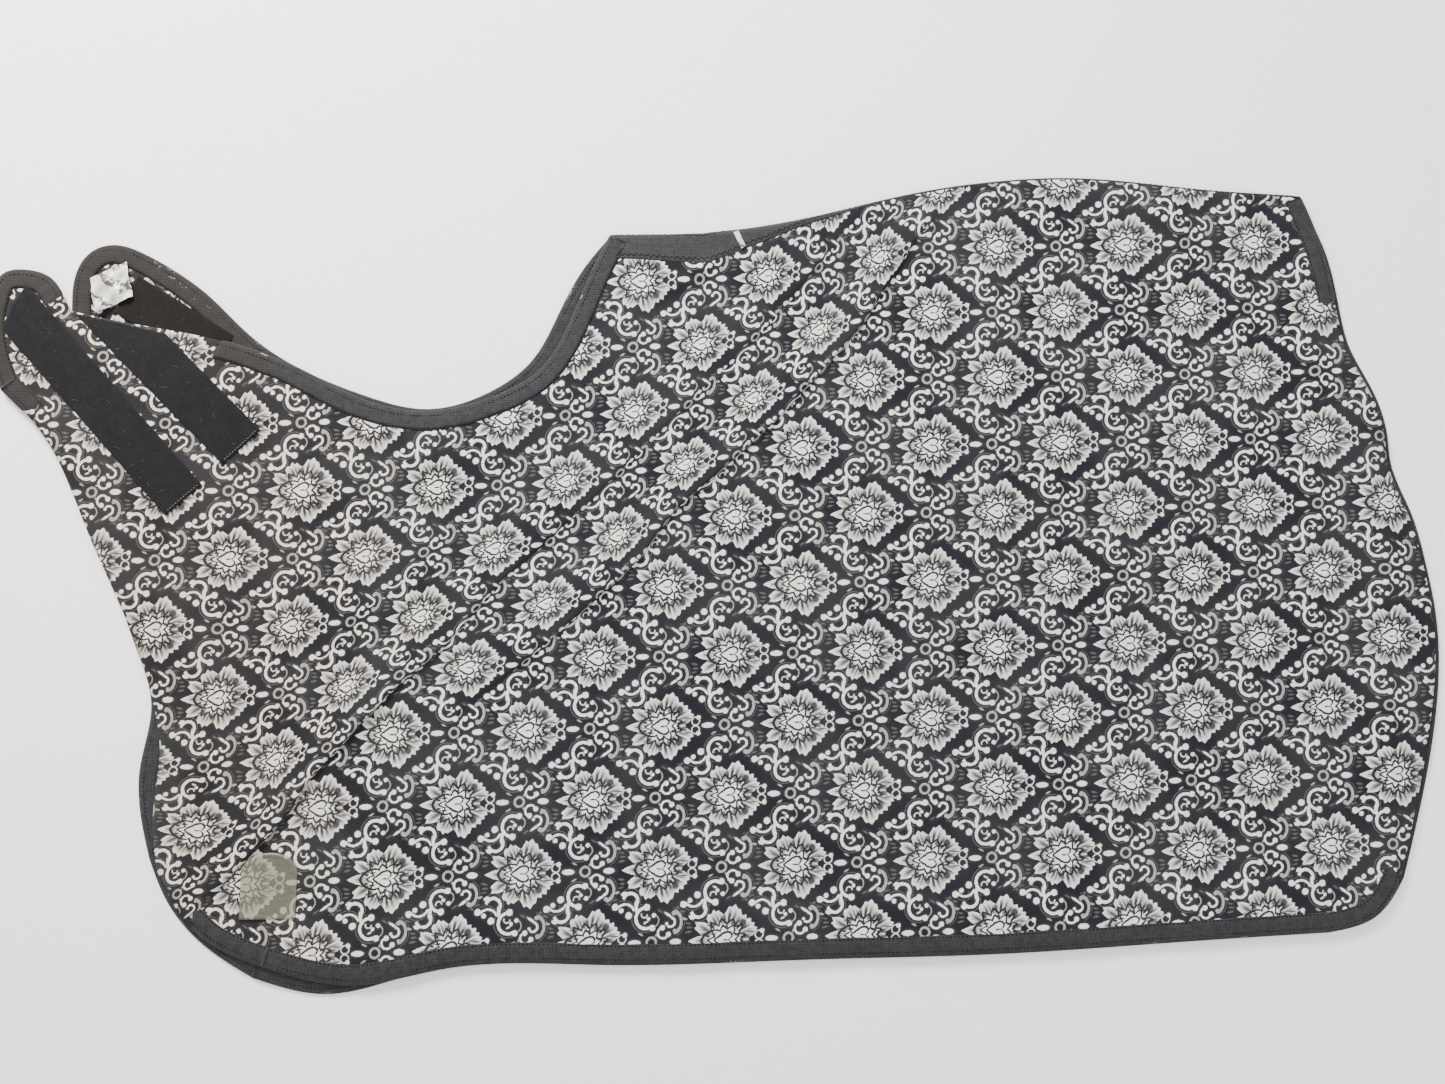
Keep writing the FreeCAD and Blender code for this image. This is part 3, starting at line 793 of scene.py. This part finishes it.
def satin_painted_shade():
    """Shiny label satin with painted shade: dark slanting streaks for the shade in its creases."""
    net = Net("label_satin")
    flat = net.on_object()
    at = net.put("ShaderNodeSeparateXYZ", flat)
    slant = net.m("ADD", net.m("MULTIPLY", at.outputs[0], 0.12), net.m("MULTIPLY", at.outputs[1], 0.24))
    wavy = net.m("ADD", slant, net.m("MULTIPLY", net.noise(flat, 0.09, 3.0, 0.6), 13.0))
    # painted shade: dark slanting streaks stand in for the shade in the satin's creases
    crease = net.ramp(net.m("SINE", wavy), 0.0, 0.85, 0.0, 0.96)
    grain = net.noise(flat, 1.6, 3.0, 0.6)
    base = net.mix(crease, tone(214, 209, 200), tone(38, 34, 28))
    base = net.mix(net.ramp(grain, 0.3, 0.7, 0.0, 0.2), base, tone(170, 164, 154))
    return net.finish(base, 0.3, grain, 0.25, 0.0004, Specular_IOR_Level=0.6)


def woven(name, colour, other, fine, warm_light=None):
    """Knitted tape: small diagonal ribs over a soft weave."""
    net = Net(name)
    flat = net.on_object()
    at = net.put("ShaderNodeSeparateXYZ", flat)
    one = net.m("SINE", net.m("MULTIPLY", net.m("ADD", at.outputs[0], at.outputs[1]), fine * 2.2))
    two = net.m("SINE", net.m("MULTIPLY", net.m("SUBTRACT", at.outputs[0], at.outputs[1]), fine * 2.2))
    rib = net.m("MULTIPLY", one, two)
    fuzz = net.noise(flat, 0.9, 4.0, 0.6)
    patch = net.noise(flat, 0.02, 2.0, 0.5)
    base = net.mix(net.ramp(rib, -0.7, 0.9, 0.0, 0.55), colour, other)
    base = net.mix(net.ramp(fuzz, 0.35, 0.75, 0.0, 0.5), base, other)
    worn = net.noise(flat, 0.16, 3.0, 0.6)
    base = net.mix(net.ramp(worn, 0.35, 0.7, 0.0, 0.5), base, colour)
    # painted warm light: the tape turns warmer, in patches, towards the upper left corner where the light
    # falls warm
    if warm_light is not None:
        corner = net.m("MULTIPLY", net.ramp(at.outputs[0], -300.0, -600.0),
                       net.ramp(at.outputs[1], 60.0, 240.0))
        base = net.mix(net.m("MULTIPLY", corner, net.ramp(patch, 0.2, 0.6, 0.4, 0.8)), base, warm_light)
    height = net.m("ADD", net.m("MULTIPLY", rib, 0.4), fuzz)
    return net.finish(base, 0.85, height, 0.9, 0.0006, sheen=0.05, Specular_IOR_Level=0.15)


def felt(name, colour, other, spot, scale=1.0, strength=0.7):
    """Matted loops of a touch fastener, with pale lint."""
    net = Net(name)
    flat = net.on_object()
    loops = net.noise(flat, 1.1 * scale, 5.0, 0.7)
    wide = net.noise(flat, 0.09, 3.0, 0.6)
    lint = net.ramp(net.noise(flat, 0.42, 2.0, 0.4), 0.71, 0.78, 0.0, 0.12)
    base = net.mix(net.ramp(loops, 0.3, 0.7), colour, other)
    base = net.mix(net.ramp(wide, 0.35, 0.7, 0.0, 0.35), base, other)
    base = net.mix(lint, base, spot)
    return net.finish(base, 0.95, loops, strength, 0.0008, sheen=0.04, Specular_IOR_Level=0.08)


def plain(name, colour, rough, **more):
    """Thread or lint: one colour, with painted shade that dims it a little in its hollows."""
    net = Net(name)
    flat = net.on_object()
    grain = net.noise(flat, 2.0, 4.0, 0.6)
    # painted shade: the colour dims where the grain that gives the bump is low, in its hollows
    painted_hollow_shade = tuple(c * (1 - 0.06 * 4) for c in colour[:3]) + (1.0,)
    base = net.mix(net.ramp(grain, 0.3, 0.7), painted_hollow_shade, colour)
    return net.finish(base, rough, grain, 0.3, 0.0004, **more)


# the warm tones are painted warm light on the left end of the rug
CREAM, CREAM_WARM_LIGHT = (232, 228, 220), (226, 214, 200)
GROUND, GROUND_WARM_LIGHT, GROUND_NAP = (24, 25, 30), (30, 28, 29), (44, 45, 51)

fleece = printed_fleece()
tape_cloth = woven("binding_tape", tone(28, 28, 30), tone(70, 69, 71), fine=0.75, warm_light=tone(42, 38, 34))
back_cloth = woven("back_tape_cloth", tone(36, 36, 36), tone(74, 73, 72), fine=0.7)
loop_cloth = felt("loop_strip", tone(15, 15, 16), tone(33, 33, 35), tone(150, 150, 146))
hook_cloth = felt("hook_strip", tone(13, 12, 11), tone(34, 32, 30), tone(190, 186, 178), 1.6, 1.0)
thread_grey = plain("thread_grey", tone(20, 20, 22), 0.8, Specular_IOR_Level=0.1)
thread_pale = plain("thread_pale", tone(148, 146, 142), 0.6)
satin = satin_painted_shade()
rubber = clear_rubber()
lint_white = plain("lint_white", tone(225, 222, 214), 0.9)
thread_loop = plain("thread_loop", tone(44, 44, 46), 0.8, Specular_IOR_Level=0.1)
lint_grey = plain("lint_grey", tone(112, 110, 106), 0.9, Specular_IOR_Level=0.1)

# ------------------------------------------------------------ the two halves
left_cloth = rolled_half("left_fleece", left, left_height, fleece, 6.2)
right_cloth = flat_half("right_fleece", right, right_height, fleece, 7.5)
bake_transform(left_cloth)
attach(right_cloth, "right_side")
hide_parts("left_panel", "left_flap")
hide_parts("right_panel")


# ------------------------------------------------------------ binding
def on_free_edge(half, names):
    """The line and its normals of these runs of the free edge, in one."""
    normals = outwards(half.free)
    first = 0
    for name, run in half.runs.items():
        if name == names[0]:
            break
        first += len(run) - 1
    count = sum(len(half.runs[n]) - 1 for n in names) + 1
    return half.free[first:first + count], normals[first:first + count]


def tucked(side, run, line):
    """How far the binding has rolled under the cloth at each point of its line, from 0 to 1."""
    x, y = line[:, 0], line[:, 1]
    found = {
        "left_front": smooth((175 - y) / 45) * smooth((y + 378) / 34),
        "left_tail": smooth((312 - y) / 42) * smooth((y + 345) / 50),
        "left_cutout": smooth((-545 - x) / 25),
        "left_flap": smooth((300 - y) / 16) * smooth((x + 735) / 12),
    }
    return found.get(f"{side}_{run}", np.zeros(len(line)))


BINDING_SEAMS = ((-19.2, 2.0), (-4.5, 1.85))   # where its rows of stitches lie, and how high
sides = (
    ("left", left, left_height, {"cutout": ["cutout"], "flap": ["flap"], "front": ["front", "corner"],
                                 "hem": ["hem"], "tail": ["heel", "tail"]}),
    ("right", right, right_height, {"cutout": ["cutout", "flap"], "front": ["front", "corner"],
                                    "hem": ["hem"], "tail": ["heel", "tail"]}),
)
for side, half, height, runs in sides:
    for run, names in runs.items():
        line, normals = on_free_edge(half, names)
        tuck = tucked(side, run, line)
        made = binding(f"{side}_{run}_tape", line, normals, height, tape_cloth, tuck)
        seam = [stitches(f"{side}_{run}_stitches_{k}", line, normals, height, gap, above, thread_grey,
                         tuck=tuck) for k, (gap, above) in enumerate(BINDING_SEAMS)]
        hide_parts(f"{side}_{run}_binding")
        for piece in (made, *seam):
            if side == "left" and run in ("cutout", "front"):
                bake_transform(piece)
            else:
                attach(piece, "left_front_flap" if run == "flap" else f"{side}_side")


# ------------------------------------------------------------ back seam
CROWN = 0.6              # nothing comes nearer to the fold's crown than this


def over_fold(line, normals, across, outer):
    """Points on the outside of the fold. across is 0 at its crown, and grows over the upper half.
    Every point belongs to one half, so none lies on the crown itself."""
    across = np.where(np.abs(across) < CROWN, np.where(across < 0, -CROWN, CROWN), across)
    quarter = outer * math.pi / 2
    bend = np.clip(across, -quarter, quarter) / outer
    beyond = np.maximum(np.abs(across) - quarter, 0)
    out = ROLL * (np.cos(bend) * outer / ROLL - 1) - beyond
    flat = line + normals * out[:, None]
    under = line - normals * np.maximum(beyond + ROLL, ROLL)[:, None]
    top, low = left_height(under) + outer - ROLL, right_height(under) - outer + ROLL
    edge = np.where(across > 0, top, low)
    share = np.abs(np.sin(bend))
    return np.column_stack([flat, LAYER_MIDDLE + (edge - LAYER_MIDDLE) * share])


seam_line = left.seam[::-1].copy()
seam_out = outwards(left.seam)[::-1]
seam_place = lengths(seam_line)
# how far over the upper half the back tape's middle lies, at places along X
TAPE_MIDDLE = [(-125, 14), (-92, 15), (-20, 22), (25, 9), (86, -5), (177, -12), (660, -12)]
centre = table(seam_line[:, 0], TAPE_MIDDLE)


def fold_strip(name, low, high, outer, thick, material):
    """A strip that follows the fold, from low to high across it."""
    spots = np.linspace(0, 1, 16)
    outside = [over_fold(seam_line, seam_out, low + (high - low) * s, outer) for s in spots]
    inner = [over_fold(seam_line, seam_out, low + (high - low) * s, outer - thick) for s in spots]
    section = np.stack(outside + inner[::-1], axis=1)
    v = np.concatenate([spots, spots[::-1]]) * 40
    uv = np.array([(p, q) for p in seam_place for q in v]) + (-125, 375)
    return shell(name, section, material, uv)


FOLD_HALF, TAPE_HALF = 9.0, 17         # half the width of the fold's strip and of the back tape
TAPE_OUTER = ROLL + FLEECE / 2 + 0.75  # the back tape's outside, from the fold's axis
over = np.full(len(seam_line), FOLD_HALF)
back_fold = fold_strip("back_fold", -over, over, ROLL + 0.6, 1.0, fleece)
tape = fold_strip("back_tape", centre - TAPE_HALF, centre + TAPE_HALF, TAPE_OUTER, 0.7, back_cloth)
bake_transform(back_fold)
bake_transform(tape)
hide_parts("left_back_tape", "right_back_tape")


def zigzag(name, offset, outer, material):
    """A zigzag row of stitches along the tape."""
    vertices, faces = [], []
    stops = np.arange(6, seam_place[-1] - 6, 3.2)
    at = np.column_stack([np.interp(stops, seam_place, a) for a in (*seam_line.T, *seam_out.T, centre)])
    wave = np.where(np.arange(len(stops)) % 2 == 0, 1.4, -1.4)
    p = over_fold(at[:, :2], at[:, 2:4], at[:, 4] + offset + wave, outer)
    for a, b in zip(p[:-1], p[1:]):
        d = (b - a) / max(np.linalg.norm(b - a), 1e-9)
        up = np.array([0, 0, 1.0]) - d * d[2]
        up /= max(np.linalg.norm(up), 1e-9)
        side = np.cross(d, up)
        base = len(vertices)
        for end in (a, b):
            for k in range(5):
                turn = 2 * math.pi * k / 5
                vertices.append(end + 0.32 * (side * math.cos(turn) + up * math.sin(turn)))
        faces += tube_faces(base, 2, 5)
    return build(name, vertices, faces, material)


for k, offset in enumerate((-13.5, 13.5)):
    row = zigzag(f"back_tape_stitches_{k}", offset, ROLL + FLEECE / 2 + 0.9, thread_grey)
    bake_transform(row)


# ------------------------------------------------------------ fastening strips
STRIP_ABOVE, STRIP_THICK = FLEECE / 2 + 0.1, 1.3
STRIP_SEAM = 2.6         # its stitches lie this far inside its edge


def direction(angle):
    """The unit vector at this many degrees, and the one to its left."""
    a = math.radians(angle)
    d = np.array([math.cos(a), math.sin(a)])
    return d, np.array([-d[1], d[0]])


def strip(name, corner, long, wide, angle, height, material, skew=0.0, fold=0.5):
    """A touch fastener's strip with a soft crease, and the four rows of stitches that hold it."""
    d, n = direction(angle)
    corner = np.array(corner, float)

    def crease(u, v):
        ridge = fold * np.exp(-((v - wide * 0.52 + u * 0.05) / 2.6) ** 2) * smooth((long * 0.72 - u) / 60)
        return ridge + 0.35 * np.sin(u / 11 + v / 9)

    def lifted(points):
        return height(points) + crease((points - corner) @ d, (points - corner) @ n)

    made = plate(name, corner, d, long, wide, height, STRIP_ABOVE, STRIP_THICK, material, crease, skew=skew)
    near, far_u, far_v = STRIP_SEAM, long - STRIP_SEAM, wide - STRIP_SEAM
    ends = [(near, near), (far_u, near), (far_u, far_v), (skew + near, far_v)]
    outline = [corner + d * u + n * v for u, v in ends]
    rows = []
    for k in range(4):
        first, last = outline[k], outline[(k + 1) % 4]
        count = max(3, int(np.linalg.norm(last - first) / 4))
        line = first + (last - first) * np.linspace(0, 1, count)[:, None]
        thread = thread_pale if "loop" in name and k == 1 else thread_loop
        rows.append(stitches(f"{name}_stitches_{k}", line, np.zeros_like(line), lifted, 0.0,
                             STRIP_ABOVE + STRIP_THICK + 0.1, thread, long=2.6, pitch=3.6, thick=0.2))
    return [made, *rows]


lining = FLEECE / 2
strips = {
    "upper_loop_strip": strip("upper_loop", (-706, 277), 234, 54, -45, left_height, loop_cloth, 84, 0.8),
    "lower_loop_strip": strip("lower_loop", (-781, 258), 272, 50, -48, left_height, loop_cloth, -22, 3.6),
    "upper_hook_strip": strip("upper_hook", (-668, 281), 126, 48, -32, right_height, hook_cloth),
    "lower_hook_strip": strip("lower_hook", (-684, 213), 112, 45, -34, right_height, hook_cloth),
}
for node, pieces in strips.items():
    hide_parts(node)
    for piece in pieces:
        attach(piece, "left_front_flap" if "loop" in node else "right_side")


def hairs(name, spots, height, above, material, seed, long, thick):
    """Loose hairs and lint that lie on the cloth, each a thin bent thread."""
    rng = np.random.default_rng(seed)
    vertices, faces = [], []
    base_z = height(spots) + above
    for (x, y), z in zip(spots, base_z):
        heading, bend = rng.uniform(0, 2 * math.pi), rng.uniform(-1.2, 1.2)
        reach, point, line = rng.uniform(0.3, 1.0) * long, np.array([x, y, z]), []
        for k in range(5):
            line.append(point.copy())
            a = heading + bend * k / 4
            point = point + np.array([math.cos(a), math.sin(a), rng.uniform(-0.06, 0.12)]) * reach / 4
        for k, centre_point in enumerate(line):
            a = heading + bend * k / 4
            side = np.array([-math.sin(a), math.cos(a), 0])
            size = thick * (0.5 if k in (0, 4) else 1.0)
            up = np.array([0, 0, size])
            vertices += [centre_point + side * size, centre_point + up, centre_point - side * size]
        faces += tube_faces(len(vertices) - 15, 5, 3)
    return build(name, vertices, faces, material)


def scattered(corner, angle, long, wide, count, seed):
    """Places strewn over a strip from this corner."""
    rng = np.random.default_rng(seed)
    d, n = direction(angle)
    u, v = rng.uniform(8, long - 8, count), rng.uniform(4, wide - 4, count)
    return np.array(corner) + u[:, None] * d + v[:, None] * n


lint_pieces = (
    ("lint_upper_loop", (-680, 252), -45, 200, 44, 16, 3, left_height, 1.5, "left_front_flap", 9.0),
    ("lint_lower_loop", (-776, 250), -48, 255, 44, 20, 5, left_height, 1.5, "left_front_flap", 9.0),
    ("lint_hook", (-652, 276), -33, 100, 34, 12, 7, right_height, 1.5, "right_side", 6.0),
    ("lint_right_edge", (-634, 338), -40, 100, 8, 30, 9, right_height, 1.0, "right_side", 4.0),
)
for name, corner, angle, reach, wide, count, seed, height, above, body, long in lint_pieces:
    spots = scattered(corner, angle, reach, wide, count, seed)
    kind, thick = (lint_white, 0.13) if "edge" in name else (lint_grey, 0.10)
    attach(hairs(name, spots, height, lining + above, kind, len(name), long, thick), body)


# ------------------------------------------------------------ labels and badge
LABEL_WIDE, LABEL_DEEP, LABEL_LEAN = 43, 40, 9
LABEL_SEWN, LABEL_TURN = (-694, 318), 26      # the end of its sewn edge, and that edge's angle
SATIN = 0.35


def crumpled(u, v):
    """How high the care label stands; its sewn edge lies flat."""
    free = smooth((LABEL_DEEP - v) / 16)
    waves = 1.7 * np.sin(u / 4.2 + v / 8) + 1.5 * np.sin(v / 3.3 - u / 9 + 1)
    waves = waves + 0.8 * np.sin(u / 1.9 - v / 3.1)
    return 0.2 + free * (3.0 + waves * 0.8)


label_along, label_left = direction(LABEL_TURN)
care_corner = np.array(LABEL_SEWN) - label_left * LABEL_DEEP - label_along * LABEL_LEAN
care = plate("care_label_cloth", care_corner, label_along, LABEL_WIDE, LABEL_DEEP, right_height,
             lining + 1.6, SATIN, satin, crumpled, step=1.5, lean=LABEL_LEAN)
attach(care, "care_label_tab")
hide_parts("care_label")
SIZE_CORNER, SIZE_ALONG, SIZE_LONG, SIZE_WIDE = (12, 376), (0.42, -0.91), 20, 6
small = plate("size_label_cloth", SIZE_CORNER, SIZE_ALONG, SIZE_LONG, SIZE_WIDE, left_height, lining + 1.3,
              SATIN, satin, lambda u, v: 0.2 + 0.6 * np.sin(v / SIZE_WIDE * math.pi), step=1.5)
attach(small, "size_label_tab")
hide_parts("size_label")

BADGE_WIDE, BADGE_SIDE, BADGE_RISE = 58, 48, 20
BADGE_FOOT = (-476, -368)              # the middle of its lower edge
BADGE_MIDDLE = (-476, -328)


def arch(inset):
    """The badge's edge, this far inside it."""
    wide, rise = BADGE_WIDE / 2 - inset, BADGE_RISE - inset
    foot = [(-wide, inset), (wide, inset), (wide, BADGE_SIDE)]
    round_top = [(wide * math.cos(a), BADGE_SIDE + rise * math.sin(a))
                 for a in np.linspace(0, math.pi, 25)[1:-1]]
    edge = closed(np.array(foot + round_top + [(-wide, BADGE_SIDE)], float))
    out = []
    for a, b in zip(edge[:-1], edge[1:]):
        count = max(1, int(np.linalg.norm(b - a) / 2.0))
        out += [a + (b - a) * k / count for k in range(count)]
    return np.array(out) + BADGE_FOOT


def badge_piece():
    """A plate with a raised rim, a second line inside it and a plain diamond in the middle."""
    loop = arch(0)
    rims = [arch(i) for i in (0.8, 4.0, 4.8, 7.2, 8.0)]
    fill = filling(arch(9.5), 3.0, np.zeros((0, 2)), lambda p: np.zeros(len(p), bool))
    flat, triangles = triangulated(loop, np.concatenate(rims + [fill]))
    gap, _ = away(flat, closed(loop))
    raised = smooth(gap / 0.8) * 1.0 + 0.5 * (smooth((gap - 0.5) / 0.5) - smooth((gap - 4.0) / 0.8)) \
        + 0.45 * (smooth((gap - 6.6) / 0.6) - smooth((gap - 8.0) / 0.7))
    diamond = np.abs(flat - BADGE_MIDDLE) @ np.array([1 / 15, 1 / 19])
    raised += 0.4 * smooth((1 - diamond) / 0.12) - 0.4 * smooth((0.62 - diamond) / 0.12)
    base = left_height(flat) + lining
    top, low = np.column_stack([flat, base + 0.9 + raised]), np.column_stack([flat, base + 0.1])
    under = flat_cut(flat)
    return build("badge_plate", np.concatenate([top, low]), two_sided(triangles, len(flat)), rubber,
                 np.concatenate([under, under]))


badge = badge_piece()
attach(badge, "left_side")
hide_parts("badge")

# ------------------------------------------------------------ sheets
area(flat_cut(left.loop))
area(right.loop)

# ------------------------------------------------------------ stage
floor_net = Net("floor")
grain = floor_net.noise(floor_net.put("ShaderNodeTexCoord").outputs["Object"], 40.0, 3.0)
floor_paint = floor_net.finish(floor_net.mix(grain, (0.95, 0.95, 0.95, 1), (0.97, 0.97, 0.97, 1)), 0.9)
mesh = bpy.data.meshes.new("floor")
mesh.from_pydata([(-8, -8, 0), (8, -8, 0), (8, 8, 0), (-8, 8, 0)], [], [(0, 1, 2, 3)])
mesh.materials.append(floor_paint)
floor = bpy.data.objects.new("floor", mesh)
bpy.context.scene.collection.objects.link(floor)

world = bpy.data.worlds.new("studio")
world.use_nodes = True
world.node_tree.nodes["Background"].inputs[0].default_value = (0.96, 0.98, 1.0, 1)
world.node_tree.nodes["Background"].inputs[1].default_value = 1.2
bpy.context.scene.world = world


def lamp(name, place, power, size, colour):
    light = bpy.data.lights.new(name, "AREA")
    light.energy, light.size, light.color = power, size, colour
    made = bpy.data.objects.new(name, light)
    made.location = place
    made.rotation_mode = "QUATERNION"
    made.rotation_quaternion = (Vector((0, 0, 0)) - Vector(place)).to_track_quat("-Z", "Y")
    bpy.context.scene.collection.objects.link(made)


lamp("key", (-1.1, 1.9, 1.25), 165, 0.7, (1.0, 0.98, 0.95))
lamp("fill", (1.6, -0.8, 2.2), 24, 1.6, (0.94, 0.97, 1.0))

eye, aim = Vector((-0.0417, -0.0741, 1.1887)), Vector((0, 0.030, 0))
back = (eye - aim).normalized()
across = Vector((0, 1, 0)).cross(back).normalized()
camera_data = bpy.data.cameras.new("camera")
camera_data.lens, camera_data.sensor_width = 27.03, 36.0
camera_data.clip_start, camera_data.clip_end = 0.01, 50
camera = bpy.data.objects.new("camera", camera_data)
axes = Matrix((across, back.cross(across), back)).transposed().to_4x4()
camera.matrix_world = Matrix.Translation(eye) @ axes
bpy.context.scene.collection.objects.link(camera)
bpy.context.scene.camera = camera
